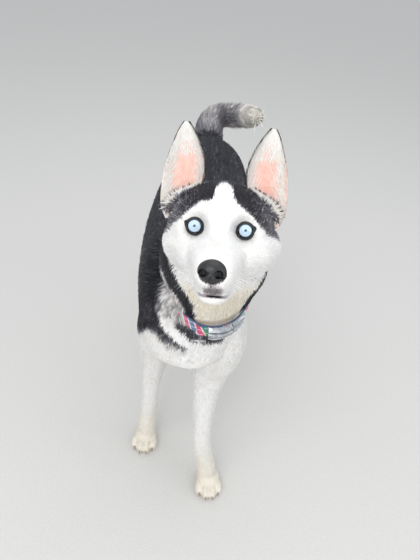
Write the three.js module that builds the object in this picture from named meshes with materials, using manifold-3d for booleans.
// A Siberian husky, life size, standing with its left forefoot a step forward, its head raised
// and its tail carried in a sickle to its left. It wears a flat webbing collar.
// Millimetres, +Z up. The nose points to -Y and the dog's left side is +X.
import * as THREE from "three";
import { mergeVertices } from "three/addons/utils/BufferGeometryUtils.js";
import Module from "manifold-3d";

const wasm = await Module();
wasm.setup();

// Driving dimensions
const WITHERS = 568; // floor to the top of the shoulders, coat included
const RUMP = 570; // floor to the top of the croup
const BRISKET = 292; // floor to the lowest part of the chest
const TRUNK_FRONT = -143; // the breastbone, along Y
const TRUNK_BACK = 480; // the point of the buttock
const CHEST_HALF = 99; // half the width across the ribs behind the shoulder, coat included
const HIP_X = 12; // the hindquarters stand this far to the left of the middle of the chest
const EYE_HEIGHT = 678;
const EYE_FRONT = -189; // how far forward the eyes are
const HEAD_PITCH = 26; // degrees that the face is raised
const HEAD_YAW = -6; // degrees that the face is turned to the dog's right
const HEAD_ROLL = -1.5;
const EYE_SPACING = 63; // between the pupils
const EYE_RADIUS = 11;
const EAR_TIP = 127; // from the line of the eyes to the tip of an ear
const NOSE_REACH = 97; // from the line of the eyes to the front of the nose
const NOSE_DROP = 41; // from the line of the eyes down to the middle of the nose
const NOSE_X = -2; // the nose is turned a little to the dog's right
const NOSTRIL_X = -3.8; // the middle between the nostrils
const NOSTRIL_SPREAD = 8.6; // from there to the middle of each nostril
const PAW_WIDTH = 56;
const TAIL_CORE = 12.5; // radius of the tail under its brush
const COLLAR_WIDTH = 19; // of the webbing
const COLLAR_THICK = 3;
const GAP = 0.3; // clear air between neighbouring pieces
const BIG = 2400; // a block larger than the dog, to cut with

const LEFT = 1;
const RIGHT = -1;
const vector = (x, y, z) => new THREE.Vector3(x, y, z);
const X = vector(1, 0, 0);
const Y = vector(0, 1, 0);
const Z = vector(0, 0, 1);
const radians = THREE.MathUtils.degToRad;
const EPSILON = 1e-9;

// Solids: a geometry whose shared corners are merged, as a closed body that can be joined and cut
function solid(geometry) {
  const bare = new THREE.BufferGeometry();
  bare.setAttribute("position", geometry.getAttribute("position"));
  bare.setIndex(geometry.index);
  const merged = mergeVertices(bare, 1e-4);
  const vertProperties = new Float32Array(merged.getAttribute("position").array);
  const triVerts = new Uint32Array(merged.index.array);
  const made = new wasm.Manifold(new wasm.Mesh({ numProp: 3, vertProperties, triVerts }));
  if (made.volume() > 0) return made;
  for (let i = 0; i < triVerts.length; i += 3) {
    [triVerts[i + 1], triVerts[i + 2]] = [triVerts[i + 2], triVerts[i + 1]];
  }
  return new wasm.Manifold(new wasm.Mesh({ numProp: 3, vertProperties, triVerts }));
}

const fuse = (solids) => solids.reduce((whole, one) => whole.add(one));
const cutAway = (whole, solids) => solids.reduce((rest, one) => rest.subtract(one), whole);

// The largest closed surface of a solid, without loose scraps or sealed hollows
function largest(whole) {
  return whole.decompose().reduce((best, one) => (one.volume() > best.volume() ? one : best));
}

// A block that fills the side of a plane that its normal points to, from half a gap away.
// A negative gap makes the block overlap the plane instead.
function sideOf(point, normal, gap = GAP) {
  const block = new THREE.BoxGeometry(BIG, BIG, BIG).translate(0, 0, BIG / 2 + gap / 2);
  block.applyQuaternion(new THREE.Quaternion().setFromUnitVectors(Z, normal.clone().normalize()));
  return solid(block.translate(point.x, point.y, point.z));
}

// Both sides of a thin cut by a plane: first the side that the normal points to
function parted(whole, point, normal) {
  const back = normal.clone().negate();
  return [whole.intersect(sideOf(point, normal)), whole.intersect(sideOf(point, back))];
}

// A form: a closed body swept along a spine through sections. A section has a half width across
// the body, a reach over the spine and a reach under it. In a cupped form both faces bow the same
// way: over is then the bow of the outer face and under is the thickness of the wall.
// point(t, angle, grow) is a place on its skin: t runs along the spine and angle round it.
function makeForm({ stations, sides, rings, across = X, square = 2, cupped = false, matrix = null }) {
  const spine = new THREE.CatmullRomCurve3(stations.map((s) => vector(...s.at)), false, "centripetal");
  const sizes = new THREE.CatmullRomCurve3(
    stations.map((s) => vector(s.half, s.over, s.under)), false, "catmullrom", 0.5);
  const bend = (value) => Math.sign(value) * Math.abs(value) ** (2 / square);

  function frame(t) {
    const along = spine.getTangent(t);
    const side = across.clone().addScaledVector(along, -across.dot(along)).normalize();
    return { centre: spine.getPoint(t), along, side, up: side.clone().cross(along) };
  }

  function point(t, angle, grow = 0) {
    const { centre, side, up } = frame(t);
    const size = sizes.getPoint(t);
    const high = bend(Math.sin(angle));
    const hollow = cupped && high < -EPSILON;
    const wide = bend(Math.cos(angle)) * (size.x + (hollow ? -grow : grow));
    let rise = high * ((high > 0 ? size.y : size.z) + grow);
    if (cupped && high < EPSILON) rise = -high * (size.y - size.z) - grow;
    return centre.addScaledVector(side, wide).addScaledVector(up, rise);
  }

  function geometry(grow = 0) {
    const made = new THREE.SphereGeometry(1, sides, rings);
    const { position, uv } = made.attributes;
    for (let i = 0; i < position.count; i++) {
      const row = Math.round((1 - uv.getY(i)) * rings);
      const t = THREE.MathUtils.clamp((row - 1) / (rings - 2), 0, 1);
      const pole = row === 0 ? -1 : row === rings ? 1 : 0;
      const { centre, along, up } = frame(t);
      const bow = cupped ? sizes.getPoint(t).y - sizes.getPoint(t).z / 2 : 0;
      const place = pole
        ? centre.addScaledVector(along, pole * grow).addScaledVector(up, bow)
        : point(t, (Math.round(uv.getX(i) * sides) / sides) * 2 * Math.PI, grow);
      position.setXYZ(i, place.x, place.y, place.z);
    }
    return matrix ? made.applyMatrix4(matrix) : made;
  }

  return { point, frame, length: spine.getLength(), solid: (grow = 0) => solid(geometry(grow)) };
}

// An egg at a place, with three half sizes and a tilt about the X axis
function egg(at, half, { detail = 14, tilt = 0, matrix = null, grow = 0 } = {}) {
  const made = new THREE.SphereGeometry(1, detail, Math.round(detail * 0.7));
  made.scale(half[0] + grow, half[1] + grow, half[2] + grow).rotateX(radians(tilt)).translate(...at);
  return solid(matrix ? made.applyMatrix4(matrix) : made);
}

// A seeded draw between 0 and 1, so that the coat comes out the same each time
function seeded(seed) {
  let state = seed;
  return () => {
    state = (state * 1664525 + 1013904223) % 4294967296;
    return state / 4294967296;
  };
}

// A lock of hair on a form: flat, tapered to its tip, and bent along the form's skin. It starts
// at t and angle, under the skin by its sink, and its tip stands off the skin by its lift.
const LOCK_FLATNESS = 0.3; // thickness over width
const LOCK_SHARES = [0, 0.5, 1];
const LOCK_TAPER = [0.8, 1, 0.07];
const SKIN_STEP = 0.01;

// A place on a form's skin with the way out of it and the way along it. Past the end of the
// form it goes straight on.
function onSkin(form, t, angle) {
  const inside = THREE.MathUtils.clamp(t, SKIN_STEP, 1 - SKIN_STEP);
  const place = form.point(inside, angle);
  const before = form.point(inside - SKIN_STEP, angle);
  const along = form.point(inside + SKIN_STEP, angle).sub(before).normalize();
  const round = form.point(inside, angle + SKIN_STEP).sub(form.point(inside, angle - SKIN_STEP));
  const out = round.cross(along).normalize();
  if (out.dot(place.clone().sub(form.frame(inside).centre)) < 0) out.negate();
  place.addScaledVector(form.frame(inside).along, (t - inside) * form.length);
  return { place, out, along };
}

function lock(form, { t, angle, length, width, lift, sink, twist = 0, back = false }) {
  const reach = ((back ? -1 : 1) * length) / form.length;
  const thick = (width * LOCK_FLATNESS) / 2;
  const root = onSkin(form, t, angle);
  const stations = LOCK_SHARES.map((share, i) => {
    const { place, out } = onSkin(form, t + share * reach, angle + share * twist);
    const size = LOCK_TAPER[i];
    return {
      at: place.addScaledVector(out, share === 0 ? -sink : lift * share ** 1.4).toArray(),
      half: (size * width) / 2,
      over: size * thick + GAP,
      under: size * thick + GAP,
    };
  });
  return makeForm({ stations, sides: 4, rings: 4, across: root.along.cross(root.out) }).solid();
}

const station = (x, y, z, half, over, under) => ({ at: [x, y, z], half, over, under });
const mirrored = (side, stations) =>
  stations.map(([x, y, z, ...size]) => station(side * x, y, z, ...size));
const placed = (stations) => stations.map((values) => station(...values));

// Trunk: from the breastbone to the buttocks, spine at mid height
const RIB = CHEST_HALF;
const trunk = makeForm({
  sides: 20,
  rings: 17,
  square: 2.15,
  stations: placed([
    [-12, TRUNK_FRONT, 398, 0.16 * RIB, 16, 12],
    [-12, TRUNK_FRONT + 7, 398, 0.38 * RIB, 38, 28],
    [-13, TRUNK_FRONT + 24, 401, 0.63 * RIB, 62, 48],
    [-14, -90, 405, 0.82 * RIB, 86, 76],
    [-14, -52, 412, 0.93 * RIB, 120, 106],
    [-12, -6, 424, RIB, WITHERS - 424, 424 - BRISKET],
    [-8, 60, 430, 1.07 * RIB, 132, 430 - BRISKET + 2],
    [-3, 140, 438, 1.11 * RIB, 124, 140],
    [3, 215, 446, 1.1 * RIB, 120, 128],
    [8, 285, 454, 1.05 * RIB, RUMP - 456, 116],
    [11, 345, 460, RIB, RUMP - 460, 108],
    [HIP_X, 405, 464, 0.9 * RIB, RUMP - 470, 90],
    [HIP_X, 450, 464, 0.64 * RIB, 76, 62],
    [HIP_X, TRUNK_BACK, 462, 0.22 * RIB, 24, 22],
  ]),
});

// Neck: from inside the chest up into the back of the skull; over is the throat side
const neck = makeForm({
  sides: 18,
  rings: 10,
  stations: placed([
    [-12, -5, 420, 80, 100, 80],
    [-6, -46, 465, 76, 96, 90],
    [8, -80, 514, 72, 76, 86],
    [12, -102, 556, 82, 64, 84],
    [11, -118, 600, 80, 62, 76],
    [9, -126, 642, 66, 54, 58],
    [8, -130, 675, 34, 24, 30],
  ]),
});

// Head, in a frame of its own: the line of the pupils crosses its origin
const HEAD = new THREE.Matrix4()
  .makeTranslation(8, EYE_FRONT, EYE_HEIGHT)
  .multiply(new THREE.Matrix4().makeRotationZ(radians(HEAD_YAW)))
  .multiply(new THREE.Matrix4().makeRotationX(radians(-HEAD_PITCH)))
  .multiply(new THREE.Matrix4().makeRotationY(radians(HEAD_ROLL)));
const EYE_X = EYE_SPACING / 2;
const EYE_Y = EYE_RADIUS - 2;

const skull = makeForm({
  sides: 20,
  rings: 11,
  matrix: HEAD,
  stations: placed([
    [0, -14, -16, 32, 15, 38],
    [0, 0, -13, 50, 29, 48],
    [0, 18, -8, 63, 47, 58],
    [0, 40, -4, 69, 59, 60],
    [0, 66, 0, 70, 60, 62],
    [0, 94, 4, 62, 52, 58],
    [0, 116, 8, 45, 36, 44],
    [0, 130, 9, 18, 14, 18],
  ]),
});
const muzzle = makeForm({
  sides: 16,
  rings: 9,
  matrix: HEAD,
  square: 2.25,
  stations: placed([
    [0, 4 - NOSE_REACH, -45, 8, 8, 9],
    [0, 9 - NOSE_REACH, -45, 18, 16, 17],
    [0, -76, -43, 24, 22, 24],
    [0, -56, -39, 29, 24, 30],
    [0, -34, -36, 33, 24, 36],
    [0, -12, -32, 40, 24, 42],
    [0, 12, -24, 40, 26, 40],
  ]),
});
const jaw = makeForm({
  sides: 12,
  rings: 7,
  matrix: HEAD,
  stations: placed([
    [0, -80, -72, 8, 5, 5],
    [0, -72, -72, 16, 9, 9],
    [0, -50, -71, 22, 16, 13],
    [0, -22, -68, 28, 20, 18],
    [0, 14, -64, 34, 24, 20],
    [0, 44, -58, 34, 22, 20],
  ]),
});

// The fur of the cheeks, widest under the ears and drawn in to the corners of the mouth
const cheeks = makeForm({
  sides: 18,
  rings: 9,
  matrix: HEAD,
  stations: placed([
    [0, -38, -44, 31, 16, 26],
    [1, -16, -38, 50, 26, 35],
    [3, 8, -31, 67, 36, 42],
    [3, 34, -26, 78.5, 44, 46],
    [3, 60, -20, 78.5, 44, 48],
    [2, 86, -12, 64, 36, 44],
    [0, 104, -6, 40, 24, 30],
  ]),
});

function headForms() {
  const forms = [skull, muzzle, jaw, cheeks].map((form) => form.solid());
  for (const side of [LEFT, RIGHT]) {
    forms.push(egg([side * 20, 11, 12], [18, 16, 12], { matrix: HEAD, detail: 10 }));
  }
  return fuse(forms);
}

// Eyes: a ball in a socket, with lids that part in an almond whose outer corner is higher
const eyeBall = (side, radius) =>
  egg([side * EYE_X, EYE_Y, 0], [radius, radius, radius], { detail: 12, matrix: HEAD });

function lidOpening(side) {
  const reach = 11;
  const rise = Math.tan(radians(20));
  const shares = [-1, -0.55, 0, 0.55, 1];
  const heights = [0.6, 7, 9, 7.4, 0.6];
  const stations = shares.map((share, i) => station(
    side * (EYE_X + share * reach), -6, share * reach * rise, 12, heights[i], heights[i]));
  return makeForm({ sides: 6, rings: 6, across: Y, matrix: HEAD, stations }).solid();
}

function withEyelids(whole) {
  let face = whole;
  for (const side of [LEFT, RIGHT]) {
    const socket = egg([side * (EYE_X + 0.5), -5, 0.5], [15, 11, 12], { matrix: HEAD, detail: 10 });
    face = face.subtract(socket).add(eyeBall(side, EYE_RADIUS + 2.2));
  }
  for (const side of [LEFT, RIGHT]) {
    face = cutAway(face, [eyeBall(side, EYE_RADIUS + GAP), lidOpening(side)]);
  }
  return face;
}

// The line of the mouth, a slit that ends in a corner on each cheek
const mouthSlit = makeForm({
  sides: 8,
  rings: 6,
  matrix: HEAD,
  stations: placed([
    [0, -110, -68, 26, 1.5, 1.5],
    [0, -84, -68.5, 30, 1.4, 1.4],
    [0, -62, -70.5, 34, 1.1, 1.1],
    [0, -46, -69, 36, 0.8, 0.8],
    [0, -38, -66, 34, 0.5, 0.5],
  ]),
});

// Nose leather, with a pit at each nostril and a groove down its middle
const noseForm = (grow) =>
  egg([NOSE_X, 13 - NOSE_REACH, -NOSE_DROP], [16.5, 13, 13.5], { matrix: HEAD, grow, detail: 10 });

function noseLeather() {
  const pits = [];
  for (const side of [LEFT, RIGHT]) {
    const nostril = [NOSTRIL_X + side * NOSTRIL_SPREAD, 2 - NOSE_REACH, -NOSE_DROP];
    const slit = [NOSTRIL_X + side * (NOSTRIL_SPREAD + 3), 6 - NOSE_REACH, -NOSE_DROP - 2];
    pits.push(egg(nostril, [3.6, 5, 3], { matrix: HEAD, detail: 6 }));
    pits.push(egg(slit, [3.2, 5, 1.4], { matrix: HEAD, detail: 6 }));
  }
  const groove = [NOSTRIL_X, -NOSE_REACH, -NOSE_DROP - 8];
  pits.push(egg(groove, [0.9, 4, 9], { matrix: HEAD, detail: 6 }));
  return cutAway(noseForm(0), pits);
}

// Ears: upright cups, open to the front
const EAR_ROOM = 4 * GAP; // a cup is cut wider, because its wall thins to the rim
const earForm = (side) => makeForm({
  sides: 12,
  rings: 11,
  cupped: true,
  matrix: HEAD,
  across: vector(-1, -0.2 * side, 0),
  stations: mirrored(side, [
    [58, 48, 4, 17, 11, 9],
    [59, 47, 18, 23, 16, 11],
    [59, 47, 34, 25, 18, 9],
    [56.5, 48, 53, 27, 18, 6],
    [54, 50, 75, 26.5, 14, 4.4],
    [54.5, 51, 98, 19.5, 9, 3.6],
    [56, 52, EAR_TIP - 10, 10.5, 5, 3],
    [56.5, 53, EAR_TIP + 2, 2.4, 2, 2],
  ]),
});

// Legs: stations run down from the shoulder or hip; over is the rear side
const FORELEGS = {
  [LEFT]: {
    stations: [
      [34, -52, 474, 18, 28, 24],
      [38, -60, 440, 34, 50, 42],
      [41, -74, 395, 39, 58, 44],
      [37, -68, 350, 38, 50, 40],
      [30, -58, 308, 31, 36, 34],
      [26, -66, 255, 27, 29, 28],
      [25, -79, 195, 22.5, 23, 23],
      [26, -88, 142, 20.5, 21, 21],
      [28, -92, 112, 21, 21, 21.5],
      [34, -94, 80, 20.5, 19, 20],
      [42, -97, 45, 22, 20, 20],
      [46, -100, 18, 21, 18, 18],
    ],
    paw: [49, -107],
    turn: 3,
  },
  [RIGHT]: {
    stations: [
      [-62, -36, 474, 18, 28, 26],
      [-66, -44, 440, 32, 50, 46],
      [-69, -50, 395, 38, 56, 54],
      [-73, -28, 350, 35, 50, 50],
      [-76, -4, 308, 30, 34, 36],
      [-78, 0, 255, 27, 28, 28],
      [-81, 3, 195, 21.5, 22, 22],
      [-83.5, 5, 142, 19.5, 21, 21],
      [-85, 7, 112, 20.5, 21, 21.5],
      [-87, 7, 80, 20.5, 19, 20],
      [-89, 4, 45, 22, 20, 20],
      [-90, 2, 18, 21, 18, 18],
    ],
    paw: [-91, -3],
    turn: -5,
  },
};
const HIND_PAW = { out: 58, y: 428, scale: 0.94, turn: 4 };
const hindStations = (side) => mirrored(side, [
  [46, 398, 520, 18, 30, 34],
  [52, 392, 490, 32, 56, 62],
  [56, 384, 440, 38, 78, 82],
  [63, 368, 386, 39, 72, 70],
  [68, 356, 330, 34, 56, 46],
  [68, 382, 276, 27, 42, 36],
  [64, 422, 222, 20.5, 30, 26],
  [60, 456, 174, 17.5, 22, 21],
  [59, 462, 130, 16.5, 18, 18],
  [58, 456, 78, 17, 17.5, 18],
  [58, 447, 40, 20, 18, 19],
  [58, 440, 18, 20, 17, 18],
]).map((one) => ({ ...one, at: [one.at[0] + HIP_X, one.at[1], one.at[2]] }));

const hindPaw = (side) => [HIP_X + side * HIND_PAW.out, HIND_PAW.y];

const legForm = (stations) => makeForm({ sides: 12, rings: 14, stations: placed(stations) });
const hindForm = (side) => makeForm({ sides: 12, rings: 15, stations: hindStations(side) });

// A paw: a low palm, four toes with their claws, and flats where it stands
const TOE_PLACES = [-1, -0.36, 0.36, 1];
function pawForms([x, y], turn, scale) {
  const place = new THREE.Matrix4()
    .makeTranslation(x, y, 0)
    .multiply(new THREE.Matrix4().makeRotationZ(radians(turn)))
    .multiply(new THREE.Matrix4().makeScale(scale, scale, scale));
  const half = PAW_WIDTH / 2;
  const forms = [egg([0, 4, 15], [half - 3, 30, 19], { matrix: place, detail: 8 })];
  for (const toe of TOE_PLACES) {
    const outer = Math.abs(toe) === 1;
    const at = [toe * (half - 8.5), outer ? -16 : -25, 11];
    forms.push(egg(at, [9, outer ? 17 : 18, 13.5], { matrix: place, detail: 6 }));
    const stations = placed([
      [at[0], at[1] - 12, 12, 3, 3, 3],
      [at[0], at[1] - 21, 5, 0.7, 0.7, 0.7],
    ]);
    forms.push(makeForm({ sides: 3, rings: 3, matrix: place, stations }).solid());
  }
  return fuse(forms);
}

// Tail: carried back, round to the left and forward again
const TAIL_PATH = [
  [12, 425, 512],
  [13, 458, 540],
  [17, 492, 560],
  [30, 524, 574],
  [58, 542, 582],
  [92, 530, 586],
  [114, 498, 592],
  [122, 458, 600],
  [122, 424, 608],
];
// The core's radius at each point of the path, as a share of its usual one
const TAIL_SHARES = [3, 2.4, 1.3, 1, 1, 1, 0.95, 0.7, 0.3];
const tail = makeForm({
  sides: 8,
  rings: 12,
  across: vector(0.8, -0.4, -0.2),
  stations: TAIL_PATH.map((at, i) => {
    const radius = TAIL_CORE * TAIL_SHARES[i];
    return { at, half: radius, over: radius, under: radius };
  }),
});

// Rows of locks that overlap like tiles, from first to last along a form. Each row stands between
// two turns round the form, and every second row is shifted by half a lock.
function coatOf(form, { seed, rows, first, last, around, from, to, length, width, lift, sink, back }) {
  const draw = seeded(seed);
  const vary = (value, share) => value * (1 + share * (2 * draw() - 1));
  const locks = [];
  for (let row = 0; row < rows; row++) {
    const along = row / (rows - 1);
    const size = 1 - 0.3 * along ** 3;
    for (let i = 0; i < around; i++) {
      const place = (i + 0.25 + (row % 2) / 2 + 0.15 * (2 * draw() - 1)) / around;
      locks.push(lock(form, {
        t: first + (last - first) * along + 0.006 * (2 * draw() - 1),
        angle: (from + (to - from) * place) * 2 * Math.PI,
        length: vary(length * size, 0.12),
        width: vary(width * size, 0.1),
        lift: vary(lift, 0.2),
        twist: 0.3 * (2 * draw() - 1),
        sink,
        back,
      }));
    }
  }
  return fuse(locks);
}

// The brush of the tail, from near its root past its tip
const BRUSH = { seed: 1, rows: 5, first: 0.18, last: 0.86, around: 5, from: 0, to: 1,
  length: 86, width: 33, lift: 13, sink: 7 };
// The ruff, which falls from behind the cheeks round the sides and back of the neck
const RUFF = { seed: 21, rows: 2, first: 0.65, last: 0.77, around: 5, from: 0.45, to: 1.05,
  length: 62, width: 42, lift: 5, sink: 9, back: true };
// The breeches, down the back of each thigh
const BREECHES = { seed: 3, rows: 2, first: 0.28, last: 0.36, around: 3, from: 0.13, to: 0.37,
  length: 58, width: 28, lift: 10, sink: 9 };

// The cuts across the tail: at the rump, before the bend and after it
const TAIL_CUTS = [
  [vector(13, 466, 546), vector(0.3, 0.72, 0.62)],
  [vector(36, 530, 576), vector(0.85, 0.45, 0.28)],
  [vector(106, 514, 590), vector(0.5, -0.84, 0.16)],
];

// Collar: webbing round the base of the neck, low at the throat and high at the nape. Its middle
// line is an ellipse, and at the throat it turns to stand upright against the breast.
const COLLAR_CENTRE = vector(14, -91.5, 523.3);
const COLLAR_ACROSS = 61; // half the inner width
const COLLAR_DEEP = 76; // half the inner length, nape to throat
const COLLAR_TIP = 36.5; // degrees that it drops towards the throat
const throatward = vector(0, -Math.cos(radians(COLLAR_TIP)), -Math.sin(radians(COLLAR_TIP)));
const collarAxis = X.clone().cross(throatward).negate();

// A place on the collar: angle 0 is the throat and positive is towards the left side
function onCollar(angle, up, out) {
  const ahead = Math.cos(angle);
  const lean = radians(COLLAR_TIP) * Math.max(0, ahead);
  const stand = collarAxis.clone().multiplyScalar(Math.cos(lean));
  stand.addScaledVector(throatward, -Math.sin(lean));
  return COLLAR_CENTRE.clone()
    .addScaledVector(X, Math.sin(angle) * (COLLAR_ACROSS + out))
    .addScaledVector(throatward, ahead * (COLLAR_DEEP + out))
    .addScaledVector(stand, up);
}

// A band round the neck between two distances from its skin
function band(inner, outer, width) {
  const segments = 30;
  const made = new THREE.TorusGeometry(1, 0.5, 4, segments);
  const { position, uv } = made.attributes;
  for (let i = 0; i < position.count; i++) {
    const corner = Math.round(uv.getY(i) * 4) % 4;
    const out = corner === 0 || corner === 3 ? outer : inner;
    const up = corner < 2 ? width / 2 : -width / 2;
    const turn = Math.round(uv.getX(i) * segments) % segments;
    const place = onCollar((turn / segments) * 2 * Math.PI, up, out);
    position.setXYZ(i, place.x, place.y, place.z);
  }
  return solid(made);
}

// A plate that follows the strap, with rounded ends
function plate(angle, long, wide, thick, out) {
  const steps = 6;
  const made = new THREE.BoxGeometry(1, 1, 1, steps, 1, 1);
  const { position } = made.attributes;
  const radius = COLLAR_DEEP * 0.9;
  for (let i = 0; i < position.count; i++) {
    const share = 2 * position.getX(i);
    const narrow = 1 - 0.28 * Math.abs(share) ** 6;
    const up = position.getY(i) * wide * narrow;
    const place = onCollar(angle + (share * long) / 2 / radius, up, out + (position.getZ(i) + 0.5) * thick);
    position.setXYZ(i, place.x, place.y, place.z);
  }
  return solid(made);
}

const BUCKLE = { long: 58, wide: 21, thick: 6, angle: radians(22) };
const SLIDER = { long: 16, wide: 25, thick: 3, angle: radians(88) };
const RING = { radius: 10.5, wire: 1.6, angle: radians(-14) };
const strapOut = COLLAR_THICK + 2 * GAP;
const fitting = ({ angle, long, wide, thick }) => plate(angle, long, wide, thick, strapOut);
const fittingRoom = ({ angle, long, wide }) =>
  plate(angle, long + 6 * GAP, wide + 4 * GAP, 30, 0);

// The ring for a lead hangs in a keeper sewn to the strap's lower edge
function leadRing(grow) {
  const ring = new THREE.TorusGeometry(RING.radius, RING.wire + grow, 5, 14).rotateX(Math.PI / 2);
  const seat = onCollar(RING.angle, -COLLAR_WIDTH / 2 - 3, COLLAR_THICK + RING.radius - 3);
  return solid(ring.rotateX(radians(50)).translate(seat.x, seat.y, seat.z));
}

const keeper = () => plate(RING.angle, 12, COLLAR_WIDTH + 11, 4.5, COLLAR_THICK - 1);

// Pieces: the dog is modelled whole and then parted with thin cuts
const NAMES = { [LEFT]: "left", [RIGHT]: "right" };
const COLOURS = {
  black_coat: [0x23232a, 0.85, 0],
  white_coat: [0xe9e6e2, 0.85, 0],
  ear_skin: [0xd9a898, 0.8, 0],
  nose_leather: [0x2e2e31, 0.45, 0],
  eye: [0xa9cfee, 0.1, 0],
  webbing: [0xd8607f, 0.8, 0],
  buckle_metal: [0x9da1a6, 0.3, 0.9],
};
const pieces = {};
const keep = (name, whole, material) => {
  pieces[name] = { whole: largest(whole), material };
};

const nape = [vector(6, -100, 622), vector(0, -0.5, 0.86)];
const neckBase = [COLLAR_CENTRE.clone().addScaledVector(collarAxis, -21), collarAxis];
const floor = sideOf(vector(0, 0, 0), Z, 0);

// Head: joined to the neck, dressed with lids, mouth and sockets, and cut off behind the skull
function keepHead() {
  const ears = [LEFT, RIGHT].map(earForm);
  const balls = [LEFT, RIGHT].map((side) => eyeBall(side, EYE_RADIUS));
  const sockets = [mouthSlit.solid(), noseForm(GAP), ...ears.map((ear) => ear.solid(EAR_ROOM))];
  const whole = cutAway(withEyelids(headForms().add(neck.solid())), sockets);
  keep("head", parted(whole, ...nape)[0], "white_coat");
  keep("nose", noseLeather(), "nose_leather");
  [LEFT, RIGHT].forEach((side, i) => {
    keep(`ear_${NAMES[side]}`, ears[i].solid(), "ear_skin");
    keep(`eye_${NAMES[side]}`, balls[i], "eye");
  });
}

// Legs: each is the part of the whole that lies in its own form, grown a little into the trunk
const LEG_MARGIN = 5;
const ELBOW = 302;
const STIFLE = 288;
const PASTERN = 58;
const WAIST = 120; // where the chest meets the loin, along Y

function legRegion(form, [x, y], grow) {
  const shoe = new THREE.BoxGeometry(76 + 2 * grow, 120 + 2 * grow, PASTERN + 2 + grow);
  return form.solid(LEG_MARGIN + grow).add(solid(shoe.translate(x, y - 8, (PASTERN + grow) / 2 - 2)));
}

function build() {
  keepHead();
  const legs = [LEFT, RIGHT].flatMap((side) => [
    {
      form: legForm(FORELEGS[side].stations),
      paw: FORELEGS[side].paw,
      feet: pawForms(FORELEGS[side].paw, FORELEGS[side].turn, 1),
      names: ["upper_foreleg", "lower_foreleg", "forepaw"].map((name) => `${name}_${NAMES[side]}`),
      cuts: [ELBOW, PASTERN],
    },
    {
      form: hindForm(side),
      paw: hindPaw(side),
      feet: pawForms(hindPaw(side), side * HIND_PAW.turn, HIND_PAW.scale),
      names: ["thigh", "hock", "hind_paw"].map((name) => `${name}_${NAMES[side]}`),
      locks: coatOf(hindForm(side), BREECHES),
      cuts: [STIFLE, PASTERN],
    },
  ]);
  const coat = [coatOf(neck, RUFF), coatOf(tail, BRUSH)];
  const flesh = [trunk.solid(), neck.solid(), tail.solid(), headForms(), ...coat];
  const dog = fuse([...flesh, ...legs.flatMap((leg) => [leg.form.solid(), leg.feet])]).intersect(floor);
  let rest = parted(dog, ...nape)[1];
  for (const leg of legs) {
    const [knee, ankle] = leg.cuts;
    const [bare, lower] = parted(rest.intersect(legRegion(leg.form, leg.paw, 0)), vector(0, 0, knee), Z);
    const upper = leg.locks ? bare.add(leg.locks) : bare;
    const [shin, paw] = parted(lower, vector(0, 0, ankle), Z);
    [upper, shin, paw].forEach((whole, i) => keep(leg.names[i], whole, i ? "white_coat" : "black_coat"));
    rest = rest.subtract(legRegion(leg.form, leg.paw, GAP));
  }
  const groove = band(-GAP, 40, COLLAR_WIDTH + 2 * GAP);
  const collared = cutAway(rest, [groove, fittingRoom(BUCKLE), fittingRoom(SLIDER)]);
  const [neckPiece, torso] = parted(collared, ...neckBase);
  keep("neck", neckPiece, "black_coat");
  const [brush, body] = parted(torso, ...TAIL_CUTS[0]);
  const [far, tailRoot] = parted(brush, ...TAIL_CUTS[1]);
  const [tailTip, tailMiddle] = parted(far, ...TAIL_CUTS[2]);
  const [loin, chest] = parted(body, vector(0, WAIST, 0), Y);
  Object.entries({ chest, loin, tail_root: tailRoot, tail_middle: tailMiddle, tail_tip: tailTip })
    .forEach(([name, whole]) => keep(name, whole, "black_coat"));
  const ring = leadRing(0);
  const strap = band(0, COLLAR_THICK, COLLAR_WIDTH).add(keeper()).subtract(leadRing(GAP));
  keep("collar_strap", strap, "webbing");
  keep("collar_ring", ring, "buckle_metal");
  keep("collar_buckle", fitting(BUCKLE), "buckle_metal");
  keep("collar_slider", fitting(SLIDER), "buckle_metal");
}

build();
const husky = new THREE.Group();
for (const [name, { whole, material }] of Object.entries(pieces)) {
  const made = whole.getMesh();
  const geometry = new THREE.BufferGeometry();
  geometry.setAttribute("position", new THREE.BufferAttribute(made.vertProperties, 3));
  geometry.setIndex(new THREE.BufferAttribute(made.triVerts, 1));
  geometry.computeVertexNormals();
  const [color, roughness, metalness] = COLOURS[material];
  const mesh = new THREE.Mesh(geometry, new THREE.MeshStandardMaterial({ color, roughness, metalness }));
  mesh.name = name;
  husky.add(mesh);
}

// The origin is at the middle of the box at floor level
const reach = new THREE.Box3().setFromObject(husky).getCenter(vector(0, 0, 0));
for (const mesh of husky.children) mesh.position.set(-reach.x, -reach.y, 0);

export default husky;
